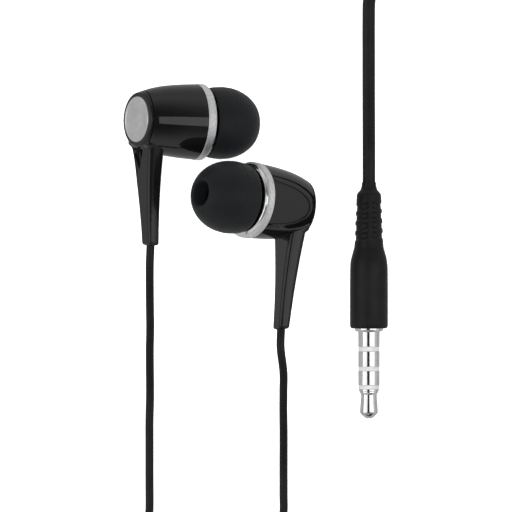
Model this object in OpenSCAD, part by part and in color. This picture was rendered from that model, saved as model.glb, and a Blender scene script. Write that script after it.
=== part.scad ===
/* [Earbud shell] */
// Largest radius of the barrel, at the trim ring
barrel_r = 6.12; // [5.9:0.02:6.3]
// Wall of the barrel
wall = 0.7; // [0.5:0.05:0.9]
// Radius of the cap that closes the back of the barrel
head_r = 4.75; // [4.7:0.05:4.8]
// Radius of the silver disc in the head
disc_r = 3.7; // [3.2:0.05:3.9]
// Angle of the head and its disc to the barrel
head_tilt = 9; // [6:1:10]

/* [Earbud stem] */
// Length of the stem, from the barrel's axis to the cord's exit
stem_len = 20.3; // [18:0.1:24]
// Width of the stem where it joins the head
stem_w = 6.9; // [6.6:0.1:7.1]
// Width of the stem at the cord's exit
stem_end_w = 2.9; // [2.7:0.1:3.2]

/* [Ear tip] */
// Outer radius of the silicone dome
tip_r = 5.88; // [5:0.02:6]
// Wall of the silicone
tip_wall = 0.6; // [0.5:0.05:0.7]
// Radius of the sound hole in the dome
tip_hole_r = 2.1; // [1.9:0.05:2.4]
// Outer radius of the nozzle
nozzle_r = 2.5; // [2.4:0.05:2.6]

/* [Cords] */
// Diameter of the two cords from the earbuds
branch_d = 1.35; // [1.2:0.05:1.35]
// Diameter of the cord from the splitter to the plug
main_d = 2.1; // [2:0.05:2.1]

/* [Plug] */
// Radius of the plug's four contacts
jack_r = 1.75; // [1.7:0.05:1.8]
// Radius of the plug's grip
grip_r = 3.1; // [3.05:0.01:3.1]
// Length of the grip, neck included
grip_len = 23.8; // [22:0.2:25]

/* [Hidden] */
$fn = 72;

// where the middle of the two earbuds lies in the layout grid
ox = -5.88;
oy = 7.89;

// ---- placing an earbud: back of the barrel, yaw, lean of the barrel, roll of the stem
// the lean is the angle from upright of the line from the back to the ear tip
l_pos = [-18.7, 22.05, 11.64];  l_yaw = -2; l_lean = 113; l_roll = 0.5;
r_pos = [7.1, 7.9, 4.16];       r_yaw = -8; r_lean = -54; r_roll = 11;

module left_place()
  translate([l_pos[0] - ox, l_pos[1] - oy, l_pos[2]])
    rotate([0, 0, l_yaw]) rotate([0, l_lean, 0]) rotate([0, 0, l_roll]) children();
module right_place()
  translate([r_pos[0] - ox, r_pos[1] - oy, r_pos[2]])
    rotate([0, 0, r_yaw]) rotate([0, r_lean, 0]) rotate([0, 0, r_roll]) children();

// the same placing for a point, used by the cords
function rz(p, a) = [p[0]*cos(a) - p[1]*sin(a), p[0]*sin(a) + p[1]*cos(a), p[2]];
function ry(p, a) = [p[0]*cos(a) + p[2]*sin(a), p[1], -p[0]*sin(a) + p[2]*cos(a)];
function placed(p, pos, yaw, lean, roll) = pos + rz(ry(rz(p, roll), lean), yaw);

// ---- earbud, in its own frame: +Z from the back to the ear tip, stem towards -Y
ring_z0 = 9.5;                 // trim ring, back and front
ring_z1 = 10.8;
cap_z = -0.66;                 // back of the cap, on the head's own axis
// depth of the stem, at the head and at the cord's exit
stem_back = [0.2, 1.9];
stem_front = [3.1, 3.8];
stem_mid = (stem_back[1] + stem_front[1]) / 2;
barrel_profile = [[head_r, 0.5], [5.08, 1.5], [5.34, 2.5], [5.6, 3.8], [5.82, 5.4], [5.98, 7.1], [6.08, 8.6], [barrel_r, ring_z0]];

module barrel_solid()
  rotate_extrude() polygon(concat([[0, 0.5]], barrel_profile, [[0, ring_z0]]));

module housing() {
  inner = [for (i = [len(barrel_profile) - 1 : -1 : 1]) [barrel_profile[i][0] - wall, i == len(barrel_profile) - 1 ? ring_z0 : barrel_profile[i][1] + 0.25]];
  difference() {
    rotate_extrude() polygon(concat([[0, 0.5]], barrel_profile, inner, [[0, 1.3]]));
    // way through for the two wires of the cord
    translate([0, 0, 2.4]) rotate([90, 0, 0]) cylinder(r = 0.6, h = 7, $fn = 24);
  }
}

// the head, its disc and the stem share an axis that is turned a little from the barrel's
module head_frame(side) rotate([0, side*head_tilt, 0]) children();
function in_head(p, side) = ry(p, side*head_tilt);

// width of the stem at a distance from the barrel's axis
function stem_half(d) = let (f = max(0, (d - 3.7)/(stem_len - 3.7)))
  (stem_w*(1 - f) + stem_end_w*f - 3.6*f*(1 - f)) / 2;

module stem(side) {
  steps = [1.2, 3.7, 5.4, 7.2, 9, 11, 13, 15.5, 18, stem_len];
  difference() {
    union() {
      intersection() {
        rotate_extrude() polygon([[0, -1.7], [4.1, -1.7], [4.28, -0.8], [4.52, -0.1], [head_r, 0.5], [0, 0.5]]);
        head_frame(side) translate([-8, -8, cap_z]) cube([16, 16, 8]);
      }
      // tapered blade: width from the front view, depth from the side view
      head_frame(side) intersection() {
        translate([0, 0, -1]) linear_extrude(height = 7)
          polygon(concat([for (d = steps) [stem_half(d), -d]], [for (i = [len(steps) - 1 : -1 : 0]) [-stem_half(steps[i]), -steps[i]]]));
        translate([-6, 0, 0]) rotate([90, 0, 90]) linear_extrude(height = 12)
          polygon([[-1.2, -0.4], [-4.0, -0.4], [-4.6, stem_back[0]], [-stem_len, stem_back[1]], [-stem_len, stem_front[1]], [-4.6, stem_front[0]], [-1.2, stem_front[0]]]);
      }
    }
    barrel_solid();
    head_frame(side) {
      translate([0, 0, cap_z - 1]) cylinder(r = disc_r + 0.02, h = 1.45);
      // three-cornered recess in the back of the stem
      intersection() {
        translate([0, 0, -2]) linear_extrude(height = 5) polygon([[-0.8*side, -4.7], [3.0*side, -4.7], [2.0*side, -9.9], [1.6*side, -9.9], [0.4*side, -8.0]]);
        translate([-6, 0, 0]) rotate([90, 0, 90]) linear_extrude(height = 12) polygon([[-4.6, -1.5], [-4.6, 2.1], [-10, 2.2], [-10, -1.5]]);
      }
      // bore for the cord
      translate([0, -stem_len - 0.01, stem_mid]) rotate([-90, 0, 0]) cylinder(r = branch_d/2 + 0.05, h = 4.01, $fn = 32);
    }
  }
}
module end_disc(side) head_frame(side) translate([0, 0, cap_z - 0.1]) difference() {
  cylinder(r = disc_r, h = 0.55);
  translate([0, 0, -0.01]) cylinder(r = disc_r - 0.55, h = 0.13);
}
module trim_ring() rotate_extrude() polygon([[barrel_r - wall - 0.15, ring_z0], [barrel_r - 0.02, ring_z0], [barrel_r + 0.08, ring_z0 + 0.12], [barrel_r + 0.06, ring_z1 - 0.15], [barrel_r - 0.1, ring_z1], [barrel_r - wall - 0.15, ring_z1]]);
module nozzle() rotate_extrude() polygon([
  [barrel_r - 0.2, ring_z1], [barrel_r - 0.28, ring_z1 + 0.22], [5.4, ring_z1 + 0.48], [4.6, ring_z1 + 0.55], [3.3, ring_z1 + 0.65], [nozzle_r, ring_z1 + 1],
  [nozzle_r, 16.8], [nozzle_r - 0.15, 17.0], [1.8, 17.0], [1.8, ring_z1 + 0.3], [4.3, ring_z1 - 0.5], [4.3, 8.7], [barrel_r - wall - 0.16, 8.7], [barrel_r - wall - 0.16, ring_z1]]);
module filter() translate([0, 0, 16.4]) cylinder(r = 1.79, h = 0.3);
module driver_frame() rotate_extrude() polygon([[2.66, 6.1], [4.9, 6.1], [5.1, 6.4], [5.1, 8.7], [4.4, 8.7], [4.4, 6.7], [2.66, 6.7]]);
module magnet() translate([0, 0, 5.3]) cylinder(r = 2.65, h = 2.2);
module diaphragm() rotate_extrude() polygon([[0, 8.6], [1.2, 8.52], [2.2, 8.2], [2.6, 8.0], [3.4, 8.35], [4.2, 8.25], [4.39, 8.25], [4.39, 8.4], [4.2, 8.4], [3.4, 8.5], [2.6, 8.15], [2.2, 8.35], [1.2, 8.67], [0, 8.75]]);

// silicone dome with its inner sleeve, turned about the nozzle
module ear_tip() {
  r = tip_r;
  w = tip_wall;
  rotate_extrude() polygon([
    [nozzle_r + 0.05, 13.1], [nozzle_r + 0.75, 13.1], [nozzle_r + 0.8, 17.8], [3.7, 18.5], [4.35, 17.8],
    [r - w - 0.45, 16.8], [r - w - 0.05, 15.5], [r - w, 14.1], [r - w - 0.12, 12.7], [r - w - 0.42, 11.8],
    [r - 0.36, 11.7], [r - 0.1, 12.5], [r, 13.9], [r - 0.03, 15.3], [r - 0.42, 16.9], [r - 1.1, 18.2], [r - 2.0, 19.2], [r - 2.9, 19.8],
    [tip_hole_r + 0.25, 20.05], [tip_hole_r, 19.9], [tip_hole_r, 17.25], [nozzle_r + 0.05, 17.15]]);
}

// ---- cords: rings of 8 points along a route, closed at both ends
function unit(v) = v / norm(v);
function flow(p, i) = unit(p[min(i + 1, len(p) - 1)] - p[max(i - 1, 0)]);
function ring_points(p, i, r, n) =
  let (t = flow(p, i), a = unit(cross([0, 0, 1], t)), b = cross(t, a))
  [for (k = [0 : n - 1]) p[i] + r*cos(360*k/n)*a + r*sin(360*k/n)*b];
module tube(p, r, n = 8) {
  m = len(p);
  polyhedron(
    points = [for (i = [0 : m - 1]) each ring_points(p, i, r, n)],
    faces = concat(
      [[for (k = [0 : n - 1]) k]],
      [for (i = [0 : m - 2]) for (k = [0 : n - 1]) [i*n + k, (i + 1)*n + k, (i + 1)*n + (k + 1) % n, i*n + (k + 1) % n]],
      [[for (k = [n - 1 : -1 : 0]) (m - 1)*n + k]]),
    convexity = 6);
}
// outer shape of a round coil that lies flat
module coil(x, y, r0, r1, h, c) translate([x - ox, y - oy, 0]) rotate_extrude()
  polygon([[r0 + c, 0], [r1 - c, 0], [r1, c], [r1, h - c], [r1 - c, h], [r0 + c, h], [r0, h - c], [r0, c]]);

// routes on the layout grid; the first two points of each earbud's cord come from its stem
bh = 0.69;
mh = 1.06;
left_out = [
  placed(in_head([0, 3 - stem_len, stem_mid], 1), l_pos, l_yaw, l_lean, l_roll),
  placed(in_head([0, -stem_len, stem_mid], 1), l_pos, l_yaw, l_lean, l_roll),
  placed(in_head([0, -stem_len - 3, stem_mid], 1), l_pos, l_yaw, l_lean, l_roll),
  [-17.2, -5, 8.9], [-17.2, -8.5, 7.2], [-17.2, -12, 5.1], [-17.3, -15.5, 3.3], [-17.3, -19, 1.9], [-17.3, -23, 1.0], [-17.4, -27, bh],
  [-17.4, -32, bh], [-17.4, -37, bh], [-17.4, -41.5, bh], [-17.7, -45, bh], [-18.1, -48.5, bh], [-18.3, -51.5, bh]];
left_back = [
  [-18.3, -56, 2.2], [-18.2, -59, 1.8], [-17.6, -62.5, 1.2], [-16, -66, 0.9], [-13.4, -68.8, bh], [-10, -70.2, bh],
  [-6, -70.6, bh], [-2, -70.6, bh], [2, -70.6, bh], [6, -70.6, 1.1], [9.5, -70.6, 1.7]];
right_out = [
  placed(in_head([0, 3 - stem_len, stem_mid], -1), r_pos, r_yaw, r_lean, r_roll),
  placed(in_head([0, -stem_len, stem_mid], -1), r_pos, r_yaw, r_lean, r_roll),
  placed(in_head([0, -stem_len - 3, stem_mid], -1), r_pos, r_yaw, r_lean, r_roll),
  [4.45, -18.8, 8.2], [4.45, -22, 6.3], [4.45, -25.5, 4.2], [4.5, -29, 2.4], [4.5, -32.5, 1.2], [4.5, -36, bh], [4.5, -39, bh],
  [4.5, -41.8, bh], [4.0, -44.8, bh], [2.8, -47.6, bh], [1.1, -50.2, bh], [0.2, -52.2, bh]];
right_back = [
  [0.5, -57, 2.2], [1.8, -60.5, 1.7], [3.8, -64, 1.2], [6.4, -67.4, 1.1], [9.5, -69.0, 1.7]];
main_in = [[18.6, -69.8, 1.75], [21, -69.8, 1.5], [24.5, -69.75, mh], [28.5, -69.7, mh]];
main_out = [
  [44, -54, 3.2], [44, -48, 2.5], [44, -42, 1.6], [44, -36, mh], [44, -29, mh], [44, -22, mh], [44, -15, mh], [44, -8, mh],
  [44, -1, mh], [44, 6, mh], [44, 13, mh], [44, 20, mh], [44, 27, mh], [44, 34, mh], [44, 38, mh], [43.9, 41.7, mh], [43.2, 45, mh], [41.4, 47.8, mh],
  [38.4, 49.6, mh], [34.5, 50.2, mh], [31.2, 50.2, mh], [27.9, 50.2, mh], [24.0, 49.6, mh], [21.0, 47.8, mh], [19.2, 45, mh], [18.5, 41.9, mh],
  [18.4, 38, mh], [18.4, 34, mh], [18.4, 28, 1.3], [18.4, 22, 2.2], [18.4, 17, 3.0], [18.4, 13, 3.1], [18.4, 9.4, 3.11]];
function shifted(p) = [for (q = p) [q[0] - ox, q[1] - oy, q[2]]];

module left_cord() { tube(shifted(left_out), branch_d/2); tube(shifted(left_back), branch_d/2); }
module right_cord() { tube(shifted(right_out), branch_d/2); tube(shifted(right_back), branch_d/2); }
module main_cord() { tube(shifted(main_in), main_d/2); tube(shifted(main_out), main_d/2); }

// where the two branches join the main cord: a flat moulding with round corners
module splitter() {
  l = 9.2; w = 5; h = 3.5; c = 1.4;
  translate([9.5 - ox, -69.8 - oy, 0]) difference() {
    union() {
      translate([c, -w/2, 0]) cube([l - 2*c, w, h]);
      translate([0, -w/2 + c, 0]) cube([l, w - 2*c, h]);
      for (x = [c, l - c]) for (y = [c - w/2, w/2 - c]) translate([x, y, 0]) cylinder(r = c, h = h, $fn = 48);
    }
    translate([l - 0.1, 0, 1.75]) rotate([0, 90, 0]) cylinder(r = main_d/2 + 0.03, h = 1, $fn = 32);
  }
}

// ---- plug, lying along -Y
module plug_place() translate([18.4 - ox, 12 - oy, 3.11]) rotate([90, 0, 0]) children();
module plug_grip() plug_place() {
  g = grip_r;
  difference() {
    rotate_extrude() polygon([[0, 0], [1.2, 0], [1.3, 1.0], [1.55, 1.6], [1.96, 2.0], [2.09, 4.2], [2.24, 6.8], [2.28, 9.6], [2.4, 10.7], [2.8, 12.0], [g - 0.06, 13.3], [g, 15], [g, grip_len - 0.2], [g - 0.2, grip_len], [0, grip_len]]);
    translate([0, 0, -0.01]) cylinder(r = main_d/2 + 0.05, h = 3.01, $fn = 32);
    // seat of the jack's core
    translate([0, 0, grip_len - 6]) cylinder(r = 1.5, h = 6.1);
    // four relief grooves in the neck
    for (i = [0 : 3]) translate([0, 0, 3.1 + 1.55*i]) rotate_extrude() polygon([[1.85, 0], [3, -0.25], [3, 0.75], [1.85, 0.5]]);
  }
}
module jack_place() plug_place() translate([0, 0, grip_len]) children();
// the steps of the jack: sleeve, then a ring of insulator before each of the other contacts
gaps = [[3, 3.7], [6.25, 6.9], [9.25, 9.9]];
module jack_sleeve() jack_place() rotate_extrude() polygon([[0.9, -6], [1.5, -6], [1.5, 0], [2.3, 0], [2.3, 0.3], [2.1, 0.5], [jack_r, 0.5], [jack_r, gaps[0][0]], [0.9, gaps[0][0]]]);
module jack_ring(z0, z1) jack_place() translate([0, 0, z0]) difference() {
  cylinder(r = jack_r, h = z1 - z0);
  translate([0, 0, -1]) cylinder(r = 0.9, h = z1 - z0 + 2);
}
module jack_tip() jack_place() rotate_extrude() polygon([[0, 9.9], [1.64, 9.9], [1.6, 10.3], [1.3, 10.75], [1.32, 11.3], [1.4, 12.2], [1.46, 13.1], [1.46, 13.7], [1.3, 14.0], [0.55, 14.65], [0, 14.7]]);
module jack_insulator() jack_place() {
  translate([0, 0, -6]) cylinder(r = 0.9, h = gaps[2][1] + 6);
  for (g = gaps) translate([0, 0, g[0]]) cylinder(r = jack_r, h = g[1] - g[0]);
}

GLOSS = [0.03, 0.03, 0.032];
SATIN = [0.06, 0.06, 0.062];
SILVER = [0.75, 0.75, 0.76];
NICKEL = [0.8, 0.8, 0.79];
SILICONE = [0.07, 0.075, 0.08];

color(GLOSS) left_place() housing();  // left_housing
color(SATIN) left_place() stem(1);  // left_stem
color(SILVER) left_place() end_disc(1);  // left_end_disc
color(SILVER) left_place() trim_ring();  // left_trim_ring
color(GLOSS) left_place() nozzle();  // left_nozzle
color(NICKEL) left_place() filter();  // left_filter
color(SILVER) left_place() driver_frame();  // left_driver_frame
color(NICKEL) left_place() magnet();  // left_magnet
color("tan") left_place() diaphragm();  // left_diaphragm
color(SILICONE) left_place() ear_tip();  // left_ear_tip
color(GLOSS) right_place() housing();  // right_housing
color(SATIN) right_place() stem(-1);  // right_stem
color(SILVER) right_place() end_disc(-1);  // right_end_disc
color(SILVER) right_place() trim_ring();  // right_trim_ring
color(GLOSS) right_place() nozzle();  // right_nozzle
color(NICKEL) right_place() filter();  // right_filter
color(SILVER) right_place() driver_frame();  // right_driver_frame
color(NICKEL) right_place() magnet();  // right_magnet
color("tan") right_place() diaphragm();  // right_diaphragm
color(SILICONE) right_place() ear_tip();  // right_ear_tip
color(SATIN) left_cord();
color(SATIN) coil(-10, -54, 6.3, 9, 4.08, 0.45);  // left_cord_coil
color(SATIN) right_cord();
color(SATIN) coil(8.4, -54, 6.3, 9, 4.08, 0.45);  // right_cord_coil
color(SATIN) splitter();
color(SATIN) main_cord();
color(SATIN) coil(31.25, -57, 9.6, 13.8, 10.55, 0.7);  // main_cord_coil
color(SATIN) plug_grip();
color(NICKEL) jack_sleeve();
color(NICKEL) jack_ring(gaps[0][1], gaps[1][0]);  // jack_rear_ring
color(NICKEL) jack_ring(gaps[1][1], gaps[2][0]);  // jack_front_ring
color(NICKEL) jack_tip();
color("gainsboro") jack_insulator();
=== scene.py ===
import bpy, bmesh, math
from mathutils import Vector, Matrix


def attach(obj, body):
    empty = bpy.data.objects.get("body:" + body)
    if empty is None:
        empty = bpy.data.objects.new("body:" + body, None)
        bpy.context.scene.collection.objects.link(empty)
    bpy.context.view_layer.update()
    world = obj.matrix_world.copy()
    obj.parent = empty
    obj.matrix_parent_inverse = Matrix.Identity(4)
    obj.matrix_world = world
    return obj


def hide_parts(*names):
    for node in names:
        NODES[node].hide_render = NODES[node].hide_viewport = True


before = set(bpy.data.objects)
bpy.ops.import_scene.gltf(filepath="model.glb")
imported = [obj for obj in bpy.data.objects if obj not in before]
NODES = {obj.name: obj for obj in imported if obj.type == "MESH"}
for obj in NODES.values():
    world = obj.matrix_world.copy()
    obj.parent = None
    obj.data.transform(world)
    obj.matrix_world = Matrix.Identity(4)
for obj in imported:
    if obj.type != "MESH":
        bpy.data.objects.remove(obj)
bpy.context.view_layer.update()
S = bpy.context.scene
MM = 0.001
OX, OY = -5.88, 7.89          # the row's origin on the layout grid, in mm


def P(x, y, z):
    return Vector(((x - OX) * MM, (y - OY) * MM, z * MM))


# ------------------------------------------------------------------ camera
VIEW_MM = 83.4                # what the frame spans at the plug's height
DIST = 0.95
cam_data = bpy.data.cameras.new("camera")
cam_data.sensor_width = 36.0
cam_data.lens = 36.0 * DIST / (VIEW_MM * MM)
cam_data.clip_start = 0.01
cam_data.clip_end = 20.0
cam = bpy.data.objects.new("camera", cam_data)
cam.location = (-OX * MM, -OY * MM, DIST + 0.0032)
cam.rotation_euler = (0, 0, 0)
S.collection.objects.link(cam)
S.camera = cam


# ------------------------------------------------------------------ helpers
def link(o):
    S.collection.objects.link(o)
    return o


def catmull(pts, per):
    """Smooth line through pts, `per` steps between neighbours."""
    out = []
    n = len(pts)
    for i in range(n - 1):
        p0 = pts[max(i - 1, 0)]
        p1, p2 = pts[i], pts[i + 1]
        p3 = pts[min(i + 2, n - 1)]
        for k in range(per):
            t = k / per
            out.append(tuple(
                0.5 * (2 * b + (c - a) * t + (2 * a - 5 * b + 4 * c - d) * t * t
                       + (3 * b - a - 3 * c + d) * t ** 3)
                for a, b, c, d in zip(p0, p1, p2, p3)))
    out.append(tuple(pts[-1]))
    return out


def filleted(pts, steps=5):
    """Rounds the corners of a closed profile. A point is (r, z) or (r, z, fillet)."""
    n = len(pts)
    out = []
    for i in range(n):
        p = pts[i]
        f = p[2] if len(p) > 2 else 0.0
        cur = Vector((p[0], p[1]))
        if f <= 0:
            out.append((cur.x, cur.y))
            continue
        prv = Vector(pts[i - 1][:2])
        nxt = Vector(pts[(i + 1) % n][:2])
        la, lb = (prv - cur).length, (nxt - cur).length
        fa = min(f, 0.42 * la)
        fb = min(f, 0.42 * lb)
        ua, ub = (prv - cur).normalized(), (nxt - cur).normalized()
        a, b = cur + ua * fa, cur + ub * fb
        out.append(tuple(cur + ua * min(fa * 1.35, 0.48 * la)))
        for k in range(steps + 1):
            t = k / steps
            q = a * (1 - t) ** 2 + cur * 2 * t * (1 - t) + b * t * t
            out.append((q.x, q.y))
        out.append(tuple(cur + ub * min(fb * 1.35, 0.48 * lb)))
    clean = []
    for q in out:
        if not clean or math.hypot(q[0] - clean[-1][0], q[1] - clean[-1][1]) > 1e-5:
            clean.append(q)
    return clean


def from_bmesh(name, bm, matrix=None, smooth=True, sharp=38):
    """matrix takes the piece's own millimetres to the row frame's metres."""
    bmesh.ops.recalc_face_normals(bm, faces=bm.faces)
    me = bpy.data.meshes.new(name)
    bm.to_mesh(me)
    bm.free()
    if matrix is not None:
        me.transform(matrix)
    for p in me.polygons:
        p.use_smooth = smooth
    if smooth:
        me.set_sharp_from_angle(angle=math.radians(sharp))
    return link(bpy.data.objects.new(name, me))


def lathe_bm(prof, segs=144, wave=None, into=None, local=None):
    """Solid of revolution about Z from a closed profile in millimetres."""
    bm = into or bmesh.new()
    rings = []
    for r, z in prof:
        if r < 1e-6:
            co = Vector((0, 0, z))
            rings.append([bm.verts.new(local @ co if local else co)])
        else:
            ring = []
            for k in range(segs):
                a = 2 * math.pi * k / segs
                rr, zz = (r, z) if wave is None else wave(r, z, a)
                co = Vector((rr * math.cos(a), rr * math.sin(a), zz))
                ring.append(bm.verts.new(local @ co if local else co))
            rings.append(ring)
    n = len(rings)
    for i in range(n):
        a, b = rings[i], rings[(i + 1) % n]
        if len(a) == 1 and len(b) == 1:
            continue
        for k in range(segs):
            k2 = (k + 1) % segs
            if len(a) == 1:
                bm.faces.new((a[0], b[k], b[k2]))
            elif len(b) == 1:
                bm.faces.new((a[k], b[0], a[k2]))
            else:
                bm.faces.new((a[k], b[k], b[k2], a[k2]))
    return bm


def lathe(name, prof, matrix, segs=144, wave=None, sharp=38):
    return from_bmesh(name, lathe_bm(prof, segs, wave), matrix, sharp=sharp)


def apply_mods(o):
    bpy.context.view_layer.update()
    dg = bpy.context.evaluated_depsgraph_get()
    me = bpy.data.meshes.new_from_object(o.evaluated_get(dg))
    o.modifiers.clear()
    o.data = me


# ------------------------------------------------------------------ materials
class Mat:
    """A Principled material with a few short ways to add detail."""

    def __init__(self, name, color, rough, metallic=0.0, **sockets):
        self.m = bpy.data.materials.new(name)
        self.m.use_nodes = True
        self.nt = self.m.node_tree
        self.b = self.nt.nodes["Principled BSDF"]
        self.b.inputs["Base Color"].default_value = (*color, 1)
        self.b.inputs["Roughness"].default_value = rough
        self.b.inputs["Metallic"].default_value = metallic
        for k, v in sockets.items():
            self.b.inputs[k.replace("_", " ")].default_value = v
        self.tc = self.nt.nodes.new("ShaderNodeTexCoord")
        self.last = None

    def node(self, kind, **kw):
        n = self.nt.nodes.new(kind)
        for k, v in kw.items():
            if hasattr(n, k):
                setattr(n, k, v)
            else:
                n.inputs[k].default_value = v
        return n

    def join(self, a, b):
        self.nt.links.new(a, b)

    def noise(self, scale, detail=3.0, rough=0.55, stretch=None):
        t = self.node("ShaderNodeTexNoise", Scale=scale, Detail=detail, Roughness=rough)
        if stretch:
            mp = self.node("ShaderNodeMapping")
            mp.inputs["Scale"].default_value = stretch
            self.join(self.tc.outputs["Object"], mp.inputs["Vector"])
            self.join(mp.outputs["Vector"], t.inputs["Vector"])
        else:
            self.join(self.tc.outputs["Object"], t.inputs["Vector"])
        return t.outputs["Fac"]

    def ramp(self, fac, stops, to):
        r = self.node("ShaderNodeValToRGB")
        e = r.color_ramp.elements
        e[0].position, e[1].position = stops[0][0], stops[-1][0]
        e[0].color, e[1].color = stops[0][1], stops[-1][1]
        for p, c in stops[1:-1]:
            n = e.new(p)
            n.color = c
        self.join(fac, r.inputs["Fac"])
        self.join(r.outputs["Color"], self.b.inputs[to])
        return r.outputs["Color"]

    def spread(self, fac, lo, hi, to):
        r = self.node("ShaderNodeMapRange")
        r.inputs["From Min"].default_value = 0.3
        r.inputs["From Max"].default_value = 0.7
        r.inputs["To Min"].default_value = lo
        r.inputs["To Max"].default_value = hi
        self.join(fac, r.inputs["Value"])
        self.join(r.outputs["Result"], self.b.inputs[to])

    def bump(self, fac, strength, distance):
        b = self.node("ShaderNodeBump", Strength=strength, Distance=distance)
        self.join(fac, b.inputs["Height"])
        if self.last is not None:
            self.join(self.last, b.inputs["Normal"])
        self.join(b.outputs["Normal"], self.b.inputs["Normal"])
        self.last = b.outputs["Normal"]


def grey(v, a=0.0, b=0.0):
    return (v, v + a, v + b, 1)


def make_materials():
    out = {}
    # piano-gloss shell: faint waviness of moulding, hairline wear in the gloss
    m = Mat("gloss_black", (0.004, 0.004, 0.0042), 0.07, IOR=1.5)
    m.spread(m.noise(420, 4, 0.6), 0.05, 0.085, "Roughness")
    m.ramp(m.noise(260, 2), [(0.3, grey(0.0030)), (0.7, grey(0.0048, 0, 0.0002))], "Base Color")
    m.bump(m.noise(190, 2, 0.4), 0.06, 0.00004)
    out["gloss_black"] = m.m
    # satin moulding of the stems: very fine grain, soft swirl in the sheen
    m = Mat("satin_black", (0.0045, 0.0045, 0.0047), 0.14, IOR=1.48, Specular_IOR_Level=0.4)
    m.spread(m.noise(700, 3, 0.5), 0.11, 0.16, "Roughness")
    m.ramp(m.noise(420, 3), [(0.3, grey(0.0036)), (0.7, grey(0.0054, 0, 0.0003))], "Base Color")
    m.bump(m.noise(9000, 2, 0.5), 0.05, 0.00001)
    m.bump(m.noise(260, 2, 0.4), 0.05, 0.00004)
    out["satin_black"] = m.m
    m = Mat("silicone", (0.0058, 0.0068, 0.0077), 0.5, IOR=1.42, Specular_IOR_Level=0.2, Sheen_Weight=0.03, Sheen_Roughness=0.5)
    m.spread(m.noise(900, 4, 0.6), 0.44, 0.54, "Roughness")
    m.ramp(m.noise(260, 3), [(0.3, (0.0052, 0.0062, 0.0070, 1)), (0.7, (0.0064, 0.0074, 0.0084, 1))], "Base Color")
    m.bump(m.noise(7000, 3, 0.55), 0.08, 0.00001)
    out["silicone"] = m.m
    # plated trim ring with the fine sparkle of a blasted finish
    m = Mat("trim_silver", (0.94, 0.94, 0.94), 0.4, 1.0)
    m.ramp(m.noise(2300, 5, 0.7), [(0.28, grey(0.74)), (0.5, grey(0.94)), (0.72, grey(1.0))], "Base Color")
    m.spread(m.noise(3100, 4, 0.7), 0.52, 0.70, "Roughness")
    m.bump(m.noise(3600, 4, 0.7), 0.30, 0.00003)
    out["trim_silver"] = m.m
    m = Mat("bevel_silver", (0.9, 0.91, 0.92), 0.14, 1.0)
    m.ramp(m.noise(700, 3), [(0.3, grey(0.84)), (0.7, grey(0.93))], "Base Color")
    m.spread(m.noise(1500, 4, 0.6), 0.10, 0.20, "Roughness")
    out["bevel_silver"] = m.m
    out["disc_silver"] = None          # made per disc, about its own axis
    m = Mat("nickel", (0.8, 0.8, 0.79), 0.12, 1.0)
    m.ramp(m.noise(900, 3), [(0.3, grey(0.76)), (0.7, grey(0.84))], "Base Color")
    m.spread(m.noise(1200, 4, 0.6, stretch=(0.25, 3.0, 0.25)), 0.09, 0.16, "Roughness")
    m.bump(m.noise(2600, 3, 0.6, stretch=(0.2, 4.0, 0.2)), 0.06, 0.00001)
    out["nickel"] = m.m
    m = Mat("insulator", (0.76, 0.76, 0.74), 0.4)
    m.ramp(m.noise(1500, 3), [(0.3, grey(0.47)), (0.7, grey(0.57))], "Base Color")
    m.bump(m.noise(4000, 2), 0.08, 0.00001)
    out["insulator"] = m.m
    # soft jacket: fine bloom, slight flow marks along the cord
    m = Mat("jacket", (0.0055, 0.0055, 0.0056), 0.4, IOR=1.46, Specular_IOR_Level=0.22)
    m.spread(m.noise(800, 3, 0.5), 0.36, 0.46, "Roughness")
    m.ramp(m.noise(420, 3), [(0.3, grey(0.0046)), (0.7, grey(0.0066, 0, 0.0002))], "Base Color")
    m.bump(m.noise(5000, 3, 0.6), 0.05, 0.00001)
    out["jacket"] = m.m
    m = Mat("grip", (0.0055, 0.0055, 0.0057), 0.42, IOR=1.46, Specular_IOR_Level=0.2)
    m.spread(m.noise(700, 3, 0.5), 0.38, 0.47, "Roughness")
    m.ramp(m.noise(420, 3), [(0.3, grey(0.0047)), (0.7, grey(0.0066, 0, 0.0002))], "Base Color")
    m.bump(m.noise(9000, 2, 0.5), 0.05, 0.00001)
    out["grip"] = m.m
    m = Mat("filter_mesh", (0.32, 0.32, 0.33), 0.35, 1.0)
    m.ramp(m.noise(2500, 3), [(0.3, grey(0.22)), (0.7, grey(0.42))], "Base Color")
    out["filter_mesh"] = m.m
    m = Mat("driver_metal", (0.5, 0.5, 0.5), 0.4, 1.0)
    m.spread(m.noise(1600, 3), 0.3, 0.5, "Roughness")
    out["driver_metal"] = m.m
    m = Mat("film", (0.5, 0.38, 0.2), 0.3)
    m.ramp(m.noise(1200, 3), [(0.3, (0.42, 0.31, 0.16, 1)), (0.7, (0.55, 0.42, 0.24, 1))], "Base Color")
    out["film"] = m.m
    m = Mat("tie", (0.02, 0.02, 0.021), 0.6)
    m.ramp(m.noise(2500, 3), [(0.3, grey(0.014)), (0.7, grey(0.03))], "Base Color")
    m.bump(m.noise(5200, 3), 0.4, 0.00004)
    out["tie"] = m.m
    return out


MATS = make_materials()


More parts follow.
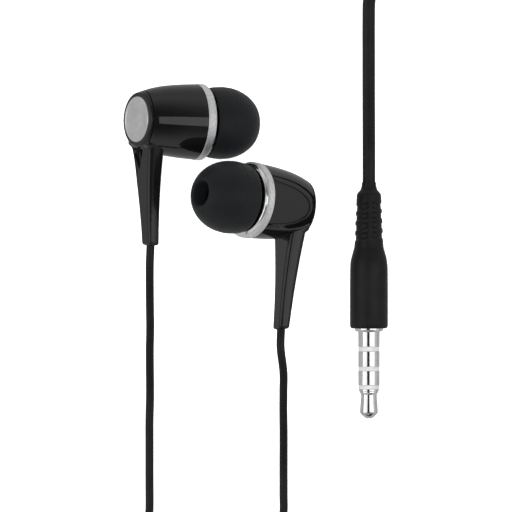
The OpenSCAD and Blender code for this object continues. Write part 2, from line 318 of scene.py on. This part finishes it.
def disc_material(name, centre, normal):
    """Spun and blasted silver: fine rings about the disc's own axis."""
    m = Mat(name, (0.74, 0.74, 0.74), 0.38, 1.0)
    z = Vector(normal).normalized()
    q = z.to_track_quat("Z", "Y").inverted().to_matrix().to_4x4()
    mp = m.node("ShaderNodeMapping")
    mp.vector_type = "POINT"
    e = q.to_euler()
    c = q @ (-Vector(centre))
    mp.inputs["Location"].default_value = c
    mp.inputs["Rotation"].default_value = e
    m.join(m.tc.outputs["Object"], mp.inputs["Vector"])
    w = m.node("ShaderNodeTexWave", wave_type="RINGS", rings_direction="Z", wave_profile="SIN")
    w.inputs["Scale"].default_value = 900.0
    w.inputs["Distortion"].default_value = 1.2
    w.inputs["Detail"].default_value = 3.0
    w.inputs["Detail Scale"].default_value = 1.5
    m.join(mp.outputs["Vector"], w.inputs["Vector"])
    n = m.noise(2600, 4, 0.7)
    m.ramp(m.noise(330, 4, 0.65), [(0.3, grey(0.64)), (0.55, grey(0.74)), (0.75, grey(0.84))], "Base Color")
    m.spread(n, 0.33, 0.48, "Roughness")
    m.bump(w.outputs["Fac"], 0.10, 0.00001)
    m.bump(n, 0.18, 0.00002)
    return m.m


def finish_piece(o, body, mat, slot, *nodes):
    o.data.materials.clear()
    o.data.materials.append(mat)
    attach(o, body)
    if nodes:
        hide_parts(*nodes)
    return o


# ------------------------------------------------------------------ cords
BD, MD = 1.35, 2.1            # diameters, mm
BH, MH = 0.69, 1.06           # height of a cord that lies on the surface


def placing(pos, yaw, lean, roll):
    return (Matrix.Translation(((pos[0] - OX) * MM, (pos[1] - OY) * MM, pos[2] * MM))
            @ Matrix.Rotation(math.radians(yaw), 4, "Z")
            @ Matrix.Rotation(math.radians(lean), 4, "Y")
            @ Matrix.Rotation(math.radians(roll), 4, "Z")
            @ Matrix.Scale(MM, 4))


LEFT = placing((-18.7, 22.05, 11.64), -2, 113, 0.5)
RIGHT = placing((7.1, 7.9, 4.16), -8, -54, 11)
HEAD_TILT, CAP_Z = 9.0, -0.66
STEM_LEN, STEM_Z = 20.3, 2.85


def head_of(m, sgn):
    """The frame of the head, its disc and the stem: turned a little from the barrel's."""
    return m @ Matrix.Rotation(math.radians(HEAD_TILT * sgn), 4, "Y")


LEFT_HEAD, RIGHT_HEAD = head_of(LEFT, 1), head_of(RIGHT, -1)


def grid(v):
    """A point of the row frame, back on the layout grid in mm."""
    return (v.x / MM + OX, v.y / MM + OY, v.z / MM)


def stem_points(m):
    return [grid(m @ Vector((0, -STEM_LEN + d, STEM_Z))) for d in (3, 0, -3)]


LEFT_OUT = stem_points(LEFT_HEAD) + [
    (-17.2, -5, 8.9), (-17.2, -8.5, 7.2), (-17.2, -12, 5.1), (-17.3, -15.5, 3.3), (-17.3, -19, 1.9), (-17.3, -23, 1.0), (-17.4, -27, BH),
    (-17.4, -32, BH), (-17.4, -37, BH), (-17.4, -41.5, BH), (-17.7, -45, BH), (-18.1, -48.5, BH)]
LEFT_BACK = [
    (-18.2, -59, 1.8), (-17.6, -62.5, 1.2), (-16, -66, 0.9), (-13.4, -68.8, BH), (-10, -70.2, BH),
    (-6, -70.6, BH), (-2, -70.6, BH), (2, -70.6, BH), (6, -70.6, 1.1), (9.5, -70.6, 1.7), (10.5, -70.5, 1.75)]
RIGHT_OUT = stem_points(RIGHT_HEAD) + [
    (4.45, -18.8, 8.2), (4.45, -22, 6.3), (4.45, -25.5, 4.2), (4.5, -29, 2.4), (4.5, -32.5, 1.2), (4.5, -36, BH), (4.5, -39, BH),
    (4.5, -41.8, BH), (4.0, -44.8, BH), (2.8, -47.6, BH), (1.1, -50.2, BH)]
RIGHT_BACK = [
    (1.8, -60.5, 1.7), (3.8, -64, 1.2), (6.4, -67.4, 1.1), (9.5, -69.0, 1.7), (10.5, -69.1, 1.75)]
MAIN_IN = [(18.0, -69.8, 1.75), (18.6, -69.8, 1.75), (21, -69.8, 1.5), (24.5, -69.75, MH)]
MAIN_OUT = [
    (44, -48, 2.5), (44, -42, 1.6), (44, -36, MH), (44, -29, MH), (44, -22, MH), (44, -15, MH), (44, -8, MH),
    (44, -1, MH), (44, 6, MH), (44, 13, MH), (44, 20, MH), (44, 27, MH), (44, 34, MH), (44, 38, MH), (43.9, 41.7, MH), (43.2, 45, MH), (41.4, 47.8, MH),
    (38.4, 49.6, MH), (34.5, 50.2, MH), (31.2, 50.2, MH), (27.9, 50.2, MH), (24.0, 49.6, MH), (21.0, 47.8, MH), (19.2, 45, MH), (18.5, 41.9, MH),
    (18.4, 38, MH), (18.4, 34, MH), (18.4, 28, 1.3), (18.4, 22, 2.2), (18.4, 17, 3.0), (18.4, 13, 3.1), (18.4, 9.4, 3.11)]


def winding(cx, cy, cells, start, extra, step=6.0, shift=70.0):
    """Turns of a coil, one per (radius, height) cell, each easing into the next."""
    out = []
    total = 360.0 * (len(cells) - 1) + extra
    n = int(round(total / step))
    for i in range(n + 1):
        a = total * i / n
        k = min(int(a // 360.0), len(cells) - 2)
        f = a - 360.0 * k
        t = max(0.0, (f - (360.0 - shift)) / shift)
        t = min(t, 1.0)
        t = t * t * (3 - 2 * t)
        r = cells[k][0] * (1 - t) + cells[k + 1][0] * t
        z = cells[k][1] * (1 - t) + cells[k + 1][1] * t
        if a > 360.0 * (len(cells) - 1):
            r, z = cells[-1]
        g = math.radians(start + a)
        out.append((cx + r * math.cos(g), cy + r * math.sin(g), z))
    return out


def resample(pts, step):
    d = [0.0]
    for a, b in zip(pts, pts[1:]):
        d.append(d[-1] + math.dist(a, b))
    n = max(2, int(round(d[-1] / step)))
    out, j = [], 0
    for i in range(n + 1):
        s = d[-1] * i / n
        while j < len(d) - 2 and d[j + 1] < s:
            j += 1
        t = (s - d[j]) / max(d[j + 1] - d[j], 1e-9)
        out.append(tuple(a * (1 - t) + b * t for a, b in zip(pts[j], pts[j + 1])))
    return out, d[-1]


def cord_curve(name, ctrl, diameter, step=0.8):
    pts, length = resample(catmull(ctrl, 8), step)
    cu = bpy.data.curves.new(name, "CURVE")
    cu.dimensions = "3D"
    sp = cu.splines.new("POLY")
    sp.points.add(len(pts) - 1)
    for i, p in enumerate(pts):
        v = P(*p)
        sp.points[i].co = (v.x, v.y, v.z, 1)
    sp.use_smooth = True
    cu.bevel_depth = diameter * MM / 2
    cu.bevel_resolution = 5
    cu.use_fill_caps = True
    return link(bpy.data.objects.new(name, cu)), length


IN_R, OUT_R = 6.98, 8.32
z1, z2, z3 = BH, BH + BD, BH + 2 * BD
LEFT_TURNS = winding(-10, -54, [(OUT_R, z1), (IN_R, z1), (IN_R, z2), (IN_R, z3), (OUT_R, z3), (OUT_R, z2)], 180, 0)
RIGHT_TURNS = winding(8.4, -54, [(OUT_R, z1), (IN_R, z1), (IN_R, z2), (IN_R, z3), (OUT_R, z3), (OUT_R, z2), (OUT_R, z2)], 180, 18)
mi, mo = 10.66, 12.75
h = [MH + MD * k for k in range(5)]
MAIN_TURNS = winding(31.25, -57, [(mo, h[0]), (mi, h[0]), (mi, h[1]), (mi, h[2]), (mi, h[3]), (mi, h[4]), (mo, h[4]), (mo, h[3]), (mo, h[2]), (mo, h[1])], 270, 88, step=5.0)

left_cord, left_len = cord_curve("left_cord_line", LEFT_OUT + LEFT_TURNS + LEFT_BACK, BD)
right_cord, right_len = cord_curve("right_cord_line", RIGHT_OUT + RIGHT_TURNS + RIGHT_BACK, BD)
main_cord, main_len = cord_curve("main_cord_line", MAIN_IN + MAIN_TURNS + MAIN_OUT, MD, 1.0)
print("cord lengths, mm:", round(left_len, 1), round(right_len, 1), round(main_len, 1))


def tie(name, cx, cy, angle, r0, r1, height, width, thick=0.28):
    """A soft band round a coil's bundle, at one place on the ring."""
    a = math.radians(angle)
    rad = Vector((math.cos(a), math.sin(a), 0))
    tan = Vector((-math.sin(a), math.cos(a), 0))
    up = Vector((0, 0, 1))
    rm, hw = (r0 + r1) / 2, (r1 - r0) / 2 + 0.12
    top = height + 0.12
    c = 0.75
    loop = []
    for sx, sz, a0 in ((1, 1, 0), (-1, 1, 90), (-1, -1, 180), (1, -1, 270)):
        ox = rm + sx * (hw - c)
        oz = (top - c) if sz > 0 else c
        for k in range(7):
            g = math.radians(a0 + 15 * k)
            loop.append((ox + c * math.cos(g), max(0.0, oz + c * math.sin(g)), math.cos(g), math.sin(g)))
    bm = bmesh.new()
    rows = []
    for rr, zz, nx, nz in loop:
        row = []
        for off in (0.0, thick):
            for side in (-1, -0.86, 0.86, 1):
                grow = off if abs(side) < 1 else off * 0.75
                q = Vector((cx, cy, 0)) + rad * (rr + nx * grow) + up * max(0.0, zz + (nz * grow if nz > 0 else 0)) + tan * (side * width / 2)
                row.append(bm.verts.new(P(*q)))
        rows.append(row)
    order = [0, 1, 2, 3, 7, 6, 5, 4]
    for i in range(len(rows)):
        a_, b_ = rows[i], rows[(i + 1) % len(rows)]
        for j in range(8):
            j2 = (j + 1) % 8
            bm.faces.new((a_[order[j]], a_[order[j2]], b_[order[j2]], b_[order[j]]))
    return from_bmesh(name, bm)


tie_l = tie("left_coil_tie", -10, -54, 20, 6.3, 9.0, 4.05, 2.2)
tie_r = tie("right_coil_tie", 8.4, -54, 60, 6.3, 9.0, 4.05, 2.2)
tie_m = tie("main_coil_tie", 31.25, -57, 150, 9.6, 13.8, 10.5, 3.0)
for o in (tie_l, tie_r, tie_m):
    finish_piece(o, "root", MATS["tie"], "satin_black")

for o in (left_cord, right_cord, main_cord):
    o.data.materials.append(MATS["jacket"])
    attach(o, "root")
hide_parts("left_cord", "left_cord_coil")
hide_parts("right_cord", "right_cord_coil")
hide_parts("main_cord", "main_cord_coil")

# ------------------------------------------------------------------ splitter
def splitter():
    bm = bmesh.new()
    x0, ln = 9.5, 9.2
    yc = -69.8
    rows = []
    n, m = 40, 40
    for i in range(n + 1):
        t = i / n
        # the body swells a little in the middle and rounds off at both ends
        e = min(t, 1 - t) * ln
        rnd = math.sqrt(max(0.0, 1 - (1 - min(e / 0.9, 1)) ** 2))
        w = 2.5 * (0.72 + 0.28 * rnd)
        hh = 1.75 * (0.72 + 0.28 * rnd)
        if 0.62 < t < 0.9:
            g = 0.5 - 0.5 * math.cos((t - 0.62) / 0.28 * 6 * math.pi)
            w -= 0.16 * g
            hh -= 0.10 * g
        row = []
        for k in range(m):
            a = 2 * math.pi * k / m
            ca, sa = math.cos(a), math.sin(a)
            p = 2 / 3.2
            y = w * abs(ca) ** p * (1 if ca >= 0 else -1)
            z = hh * abs(sa) ** p * (1 if sa >= 0 else -1)
            row.append(bm.verts.new(P(x0 + t * ln, yc + y, 1.75 + z)))
        rows.append(row)
    for i in range(n):
        for k in range(m):
            k2 = (k + 1) % m
            bm.faces.new((rows[i][k], rows[i][k2], rows[i + 1][k2], rows[i + 1][k]))
    bm.faces.new(rows[0])
    bm.faces.new(list(reversed(rows[-1])))
    return from_bmesh("splitter_moulding", bm, sharp=50)


sp = splitter()
finish_piece(sp, "root", MATS["grip"], "satin_black", "splitter")

# ------------------------------------------------------------------ plug
PLUG = (Matrix.Translation(P(18.4, 12.0, 3.11)) @ Matrix.Rotation(math.radians(90), 4, "X") @ Matrix.Scale(MM, 4))
G, GL = 3.1, 23.8


def grip_outline(s):
    pts = [(0, 1.16), (0.6, 1.2), (1.1, 1.32), (1.45, 1.55), (1.7, 1.84), (2.0, 1.98), (2.9, 2.04), (4.2, 2.1), (5.5, 2.16), (6.8, 2.23), (8.1, 2.27), (9.4, 2.3),
           (10.5, 2.38), (11.3, 2.58), (12.1, 2.84), (12.9, 3.0), (13.8, 3.07), (15.5, 3.09), (18, 3.1), (23.35, 3.1), (23.62, 3.04), (23.76, 2.88)]
    for (a, ra), (b, rb) in zip(pts, pts[1:]):
        if s <= b:
            t = (s - a) / (b - a)
            return ra + (rb - ra) * t
    return pts[-1][1]


def plug_grip():
    """The moulded grip. Its neck has four wavy relief grooves that run round it."""
    ss = [0.0]
    while ss[-1] < 23.76:
        s = ss[-1]
        ss.append(min(23.76, s + (0.1 if (s < 11 or s > 23.1) else 0.3)))
    base = [(s, grip_outline(s)) for s in ss]
    # soften the outline
    for _ in range(3):
        base = [base[0]] + [(base[i][0], (base[i - 1][1] + 2 * base[i][1] + base[i + 1][1]) / 4) for i in range(1, len(base) - 1)] + [base[-1]]
    prof = [(0.0, 0.0), (1.2, 0.0)] + [(r, s) for s, r in base] + [(2.7, GL), (0.0, GL)]

    def wave(r, z, a):
        if not 2.6 < z < 10.6 or r < 1.8:
            return r, z
        cut = 0.0
        ca = math.cos(a)
        for i in range(4):
            zc = 3.92 + 1.6 * i - 0.22 + 0.58 * max(0.0, -ca) + 0.16 * max(0.0, ca)
            d = abs(z - zc)
            hw = 0.36
            # each groove narrows and fades where the solid web crosses it
            web = min(1.0, max(0.0, (abs(ca - 0.06) - 0.07) * 5))
            if d < hw + 0.2:
                t = min(1.0, (hw + 0.2 - d) / 0.24)
                cut = max(cut, t * t * (3 - 2 * t) * web)
        # shallow at the sides, deeper towards the front and the back
        return r - (0.15 + 0.30 * (1 - abs(ca))) * cut, z

    return lathe("plug_grip_moulding", prof, PLUG, segs=160, wave=wave, sharp=60)


grip = plug_grip()
finish_piece(grip, "root", MATS["grip"], "satin_black", "plug_grip")

JACK = PLUG @ Matrix.Translation((0, 0, GL))
JR = 1.75
for name, node, slot, prof in (
    ("jack_sleeve_shell", "jack_sleeve", "nickel", [(0.9, -6), (1.5, -6), (1.5, -0.03), (2.3, -0.03, .03), (2.3, 0.3, .08), (2.1, 0.5, .06), (JR, 0.52, .05), (JR, 2.98, .05), (0.9, 2.98)]),
    ("jack_rear_ring_shell", "jack_rear_ring", "nickel", [(0.9, 3.72), (JR, 3.72, .05), (JR, 6.23, .05), (0.9, 6.23)]),
    ("jack_front_ring_shell", "jack_front_ring", "nickel", [(0.9, 6.92), (JR, 6.92, .05), (JR, 9.23, .05), (0.9, 9.23)]),
    ("jack_insulator_rings", "jack_insulator", "insulator", [(0, -6), (0.88, -6), (0.88, 2.99), (JR - 0.03, 2.99, .03), (JR - 0.03, 3.71, .03), (0.88, 3.71), (0.88, 6.24), (JR - 0.03, 6.24, .03), (JR - 0.03, 6.91, .03), (0.88, 6.91), (0.88, 9.24), (JR - 0.05, 9.24, .03), (JR - 0.08, 9.89, .03), (0, 9.89)]),
):
    o = lathe(name, filleted(prof), JACK, segs=128)
    finish_piece(o, "root", MATS["nickel" if slot == "nickel" else "insulator"], slot, node)
tip_curve = catmull([(1.5, 10.5), (1.34, 10.66), (1.3, 10.85), (1.31, 11.3), (1.37, 12.0), (1.44, 12.9), (1.47, 13.5), (1.42, 13.82), (1.2, 14.08), (0.85, 14.4), (0.6, 14.6)], 6)
tip_prof = filleted([(0, 9.9), (1.64, 9.9, .04), (1.63, 10.3, .1)]) + [(r, z) for r, z in tip_curve] + [(0.4, 14.68), (0, 14.7)]
jt = lathe("jack_tip_shell", tip_prof, JACK, segs=128)
finish_piece(jt, "root", MATS["nickel"], "nickel", "jack_tip")

# ------------------------------------------------------------------ earbuds
BARREL = [(4.75, 0.52), (5.08, 1.5), (5.34, 2.5), (5.6, 3.8), (5.82, 5.4), (5.98, 7.1), (6.08, 8.6), (6.12, 9.48)]


def housing(side, M):
    outer = catmull(BARREL, 8)
    inner = [(max(r - 0.7, 0.1), z + 0.3) for r, z in reversed(outer[6:-4])]
    prof = [(0, 0.5), (4.62, 0.5)] + outer + [(6.08, 9.5), (5.45, 9.5)] + inner + [(3.9, 1.3), (0, 1.3)]
    return lathe(side + "_housing_shell", prof, M, segs=192)


def trim_ring(side, M):
    prof = filleted([(5.28, 9.51), (6.06, 9.51, .06), (6.2, 9.64, .1), (6.185, 10.64, .12), (6.0, 10.8, .06), (5.28, 10.8)])
    return lathe(side + "_trim_ring_band", prof, M, segs=192)


def nozzle(side, M):
    prof = filleted([(5.92, 10.79, .05), (5.85, 11.04, .14), (5.4, 11.28, .3), (4.6, 11.35, .2), (3.3, 11.45, .3), (2.5, 11.85, .35), (2.5, 16.75, .12),
                     (2.32, 17.0, .1), (1.8, 17.0, .08), (1.8, 11.1, .4), (4.3, 10.3, .2), (4.3, 8.7), (5.26, 8.7), (5.26, 10.79)])
    return lathe(side + "_nozzle_front", prof, M, segs=160)


def ear_tip(side, M):
    outer = catmull([(5.48, 11.72), (5.62, 12.0), (5.76, 12.6), (5.84, 13.4), (5.88, 14.1), (5.875, 14.36)], 6)
    dome = catmull([(5.84, 14.44), (5.80, 15.1), (5.64, 16.0), (5.34, 16.9), (4.90, 17.8), (4.3, 18.65), (3.6, 19.36), (2.95, 19.8), (2.5, 19.98), (2.25, 19.95), (2.1, 19.75), (2.08, 19.4)], 7)
    inner = catmull([(2.55, 13.1), (3.0, 13.02), (3.25, 13.2), (3.3, 14.9), (3.32, 17.3), (3.5, 18.1), (3.8, 18.32), (4.2, 18.0), (4.75, 16.9), (5.12, 15.7), (5.27, 14.3), (5.2, 13.1), (5.05, 12.1), (5.1, 11.76), (5.3, 11.66)], 6)
    prof = [(2.08, 17.3), (2.55, 17.18)] + inner + outer + dome
    return lathe(side + "_ear_tip_dome", prof, M, segs=192, sharp=55)


def filter_disc(side, M):
    """Woven wire screen inside the nozzle."""
    bm = bmesh.new()
    R0, pitch, wr = 1.76, 0.2, 0.038
    n = int(R0 / pitch)
    for axis in (0, 1):
        for i in range(-n, n + 1):
            off = i * pitch
            half = math.sqrt(max(0.0, R0 * R0 - off * off))
            if half < 0.15:
                continue
            m = max(6, int(half * 2 / pitch) * 4)
            prev = None
            for k in range(m + 1):
                s = -half + 2 * half * k / m
                ph = math.pi * (s / pitch) + (0 if (i + axis) % 2 else math.pi)
                z = 16.55 + wr * math.cos(ph)
                ring = []
                for q in range(6):
                    g = math.pi / 3 * q
                    a, b = wr * math.cos(g), wr * math.sin(g)
                    co = (s, off + a, z + b) if axis == 0 else (off + a, s, z + b)
                    ring.append(bm.verts.new(co))
                if prev:
                    for q in range(6):
                        q2 = (q + 1) % 6
                        bm.faces.new((prev[q], prev[q2], ring[q2], ring[q]))
                else:
                    bm.faces.new(ring)
                prev = ring
            bm.faces.new(list(reversed(prev)))
    o = from_bmesh(side + "_filter_screen", bm, M)
    return o


def end_disc(side, H):
    prof = filleted([(0, -0.7), (3.0, -0.7, .2), (3.24, -0.7, .05), (3.36, -0.8, .06), (3.58, -0.8, .06), (3.7, -0.68, .06), (3.7, -0.22), (0, -0.22)])
    return lathe(side + "_end_disc_plate", prof, H, segs=192, sharp=30)


def stem_half(d):
    f = max(0.0, (d - 3.7) / (STEM_LEN - 3.7))
    return (6.9 * (1 - f) + 2.9 * f - 3.6 * f * (1 - f)) / 2


def stem(side, M, sgn):
    """Cap of the barrel and the tapered stem, as one moulding in the head's frame."""
    tilt = Matrix.Rotation(math.radians(HEAD_TILT * sgn), 4, "Y")
    back = tilt.inverted()
    bm = bmesh.new()
    cap = filleted([(0, -1.9), (4.05, -1.9), (4.28, -0.8, .3), (4.52, -0.1, .3), (4.74, 0.36, .05), (4.66, 0.46), (0, 0.46)])
    lathe_bm(cap, 160, into=bm)
    n_ = tilt.to_3x3() @ Vector((0, 0, 1))
    cutp = bmesh.ops.bisect_plane(bm, geom=bm.verts[:] + bm.edges[:] + bm.faces[:], plane_co=n_ * CAP_Z, plane_no=n_, clear_inner=True)
    edges = [e for e in cutp["geom_cut"] if isinstance(e, bmesh.types.BMEdge)]
    bmesh.ops.contextual_create(bm, geom=edges)
    bmesh.ops.transform(bm, matrix=back, verts=bm.verts)
    # blade, lofted down the stem: a box section with rounded edges
    rows = []
    n = 170
    y0, y1 = -1.4, -STEM_LEN
    for i in range(n + 1):
        d = -(y0 + (y1 - y0) * i / n)
        g = max(0.0, (d - 4.6) / (STEM_LEN - 4.6))
        hw = stem_half(d)
        zf = 3.1 + 0.7 * g
        if d < 4.0:
            zb = -0.4
        elif d < 4.6:
            t = (d - 4.0) / 0.6
            zb = -0.4 + 0.6 * t * t * (3 - 2 * t)
        else:
            zb = 0.2 + 1.7 * g
        rc = 0.85 - 0.3 * g
        e = STEM_LEN - d                        # distance from the cord's end
        if e < 0.42:
            c = 0.42 - math.sqrt(max(0.0, 0.42 ** 2 - (0.42 - e) ** 2))
            hw, zb, zf = hw - c, zb + c, zf - c
        row = []
        for cx, cz, a0 in ((1, 1, 0), (-1, 1, 90), (-1, -1, 180), (1, -1, 270)):
            for k in range(9):
                a = math.radians(a0 + 90 * k / 8)
                x = cx * (hw - rc) + rc * math.cos(a)
                z = (zf - rc if cz > 0 else zb + rc) + rc * math.sin(a)
                row.append(bm.verts.new((x, -d, z)))
        rows.append(row)
    m = len(rows[0])
    for i in range(n):
        for k in range(m):
            k2 = (k + 1) % m
            bm.faces.new((rows[i][k], rows[i][k2], rows[i + 1][k2], rows[i + 1][k]))
    bm.faces.new(rows[0])
    bm.faces.new(list(reversed(rows[-1])))
    me = bpy.data.meshes.new("tmp")
    bmesh.ops.recalc_face_normals(bm, faces=bm.faces)
    bm.to_mesh(me)
    bm.free()
    o = link(bpy.data.objects.new(side + "_stem_moulding", me))
    md = o.modifiers.new("r", "REMESH")
    md.mode = "VOXEL"
    md.voxel_size = 0.1
    md.use_smooth_shade = True
    sm = o.modifiers.new("s", "SMOOTH")
    sm.factor = 0.5
    sm.iterations = 8
    apply_mods(o)
    # the disc's seat, the recess below the head and the cord's bore
    cb = bmesh.new()
    lathe_bm([(0, -3), (3.73, -3), (3.73, -0.2), (0, -0.2)], 160, into=cb)
    outline = [(-0.8, -4.7), (-0.5, -4.62), (2.7, -4.62), (3.0, -4.8), (2.9, -5.6), (2.12, -9.6), (1.9, -9.95), (1.6, -9.8), (1.0, -8.9), (0.3, -7.6), (-0.6, -5.5)]
    pts = [(x * sgn, y) for x, y in outline]
    vs_lo = [cb.verts.new((x, y, -3)) for x, y in pts]
    vs_hi = [cb.verts.new((x, y, 2.1 + (-y - 4.6) * 0.0185)) for x, y in pts]
    for k in range(len(pts)):
        k2 = (k + 1) % len(pts)
        cb.faces.new((vs_lo[k], vs_lo[k2], vs_hi[k2], vs_hi[k]))
    cb.faces.new(list(reversed(vs_lo)))
    cb.faces.new(vs_hi)
    bore = Matrix.Translation((0, -STEM_LEN - 1, STEM_Z)) @ Matrix.Rotation(math.radians(-90), 4, "X")
    lathe_bm([(0, 0), (0.72, 0), (0.72, 4.5), (0, 4.5)], 48, into=cb, local=bore)
    cut = from_bmesh("cutter", cb, smooth=False)
    shell = [(max(0.1, r - 0.04), z) for r, z in catmull(BARREL, 6)]
    body = lathe_bm([(0, 0.5)] + [(shell[0][0], 0.5)] + shell + [(0, 9.4)], 160, local=back)
    cut2 = from_bmesh("cutter_barrel", body, smooth=False)
    for c in (cut, cut2):
        md = o.modifiers.new("b", "BOOLEAN")
        md.operation = "DIFFERENCE"
        md.solver = "EXACT"
        md.object = c
    sm = o.modifiers.new("s", "SMOOTH")
    sm.factor = 0.5
    sm.iterations = 2
    apply_mods(o)
    bpy.data.objects.remove(cut)
    bpy.data.objects.remove(cut2)
    o.data.transform(M @ tilt)
    for p in o.data.polygons:
        p.use_smooth = True
    return o


for side, M, sgn in (("left", LEFT, 1), ("right", RIGHT, -1)):
    finish_piece(housing(side, M), "root", MATS["gloss_black"], "gloss_black", side + "_housing")
    finish_piece(trim_ring(side, M), "root", MATS["trim_silver"], "polished_silver", side + "_trim_ring")
    nz = finish_piece(nozzle(side, M), "root", MATS["gloss_black"], "gloss_black", side + "_nozzle")
    nz.data.materials.append(MATS["bevel_silver"])
    inv = M.inverted()
    for q in nz.data.polygons:
        c = inv @ q.center
        if math.hypot(c.x, c.y) > 4.75 and 10.7 < c.z < 11.6:
            q.material_index = 1
    finish_piece(filter_disc(side, M), "root", MATS["filter_mesh"], "filter_mesh", side + "_filter")
    H = head_of(M, sgn)
    d = end_disc(side, H)
    centre = H @ Vector((0, 0, -0.75))
    normal = H.to_3x3() @ Vector((0, 0, -1))
    finish_piece(d, "root", disc_material(side + "_disc_silver", centre, normal), "brushed_silver", side + "_end_disc")
    finish_piece(stem(side, M, sgn), "root", MATS["satin_black"], "satin_black", side + "_stem")
    finish_piece(ear_tip(side, M), side + "_ear_tip", MATS["silicone"], "silicone", side + "_ear_tip")
    for n, m in (("driver_frame", "driver_metal"), ("magnet", "driver_metal"), ("diaphragm", "film")):
        o = NODES[side + "_" + n]
        o.data.materials.clear()
        o.data.materials.append(MATS[m])

# ------------------------------------------------------------------ floor and light
fm = Mat("floor_pale", (0.9, 0.9, 0.9), 0.9, Specular_IOR_Level=0.1)
bm = bmesh.new()
bmesh.ops.create_grid(bm, x_segments=2, y_segments=2, size=3.0)
floor = from_bmesh("floor", bm, smooth=False)
floor.data.materials.append(fm.m)
fb = fm.m.node_tree.nodes["Principled BSDF"]
fb.inputs["Emission Color"].default_value = (1, 1, 1, 1)
fb.inputs["Emission Strength"].default_value = 0.75
floor.visible_glossy = False


def area(name, direction, dist, size, radiance, target=(0.005, 0.0, 0.008), roll=0.0):
    """A card of even brightness that faces the target."""
    d = Vector(direction).normalized()
    l = bpy.data.lights.new(name, "AREA")
    l.shape = "RECTANGLE"
    l.size, l.size_y = size
    l.energy = radiance * math.pi * size[0] * size[1]
    o = link(bpy.data.objects.new(name, l))
    o.location = Vector(target) + d * dist
    o.rotation_euler = (d.to_track_quat("Z", "Y").to_matrix() @ Matrix.Rotation(math.radians(roll), 3, "Z")).to_euler()
    o.visible_camera = False
    return o


fill = area("fill", (0, 0, 1), 1.25, (1.6, 1.6), 3.0, target=(0, 0, 0))
fill.visible_glossy = False


def from_zenith(deg, side):
    a = math.radians(deg)
    return (side * math.sin(a), 0.0, math.cos(a))


area("card_right", from_zenith(35, 1), 0.6, (0.27, 0.62), 1.25)
area("card_left", from_zenith(47, -1), 0.6, (0.40, 0.62), 1.1)

world = bpy.data.worlds.new("studio")
S.world = world
world.use_nodes = True
nt = world.node_tree
bg = nt.nodes["Background"]
tc = nt.nodes.new("ShaderNodeTexCoord")
sep = nt.nodes.new("ShaderNodeSeparateXYZ")
nt.links.new(tc.outputs["Generated"], sep.inputs[0])
mr = nt.nodes.new("ShaderNodeMapRange")
mr.inputs["From Min"].default_value = -1.0
mr.inputs["From Max"].default_value = 1.0
nt.links.new(sep.outputs["Z"], mr.inputs["Value"])
rmp = nt.nodes.new("ShaderNodeValToRGB")
e = rmp.color_ramp.elements
SKY = [(0.0, 0.46), (0.42, 0.50), (0.5, 0.60), (0.60, 0.64), (0.72, 0.46), (0.84, 0.20), (0.93, 0.06), (1.0, 0.03)]
e[0].position, e[0].color = SKY[0][0], grey(SKY[0][1])
e[1].position, e[1].color = SKY[-1][0], grey(SKY[-1][1])
for pos, val in SKY[1:-1]:
    k = e.new(pos)
    k.color = grey(val)
nt.links.new(mr.outputs["Result"], rmp.inputs["Fac"])
nt.links.new(rmp.outputs["Color"], bg.inputs["Color"])
bg.inputs["Strength"].default_value = 1.0

S.view_settings.view_transform = "Standard"
S.view_settings.look = "None"
S.view_settings.exposure = 0.0
S.view_settings.gamma = 1.0
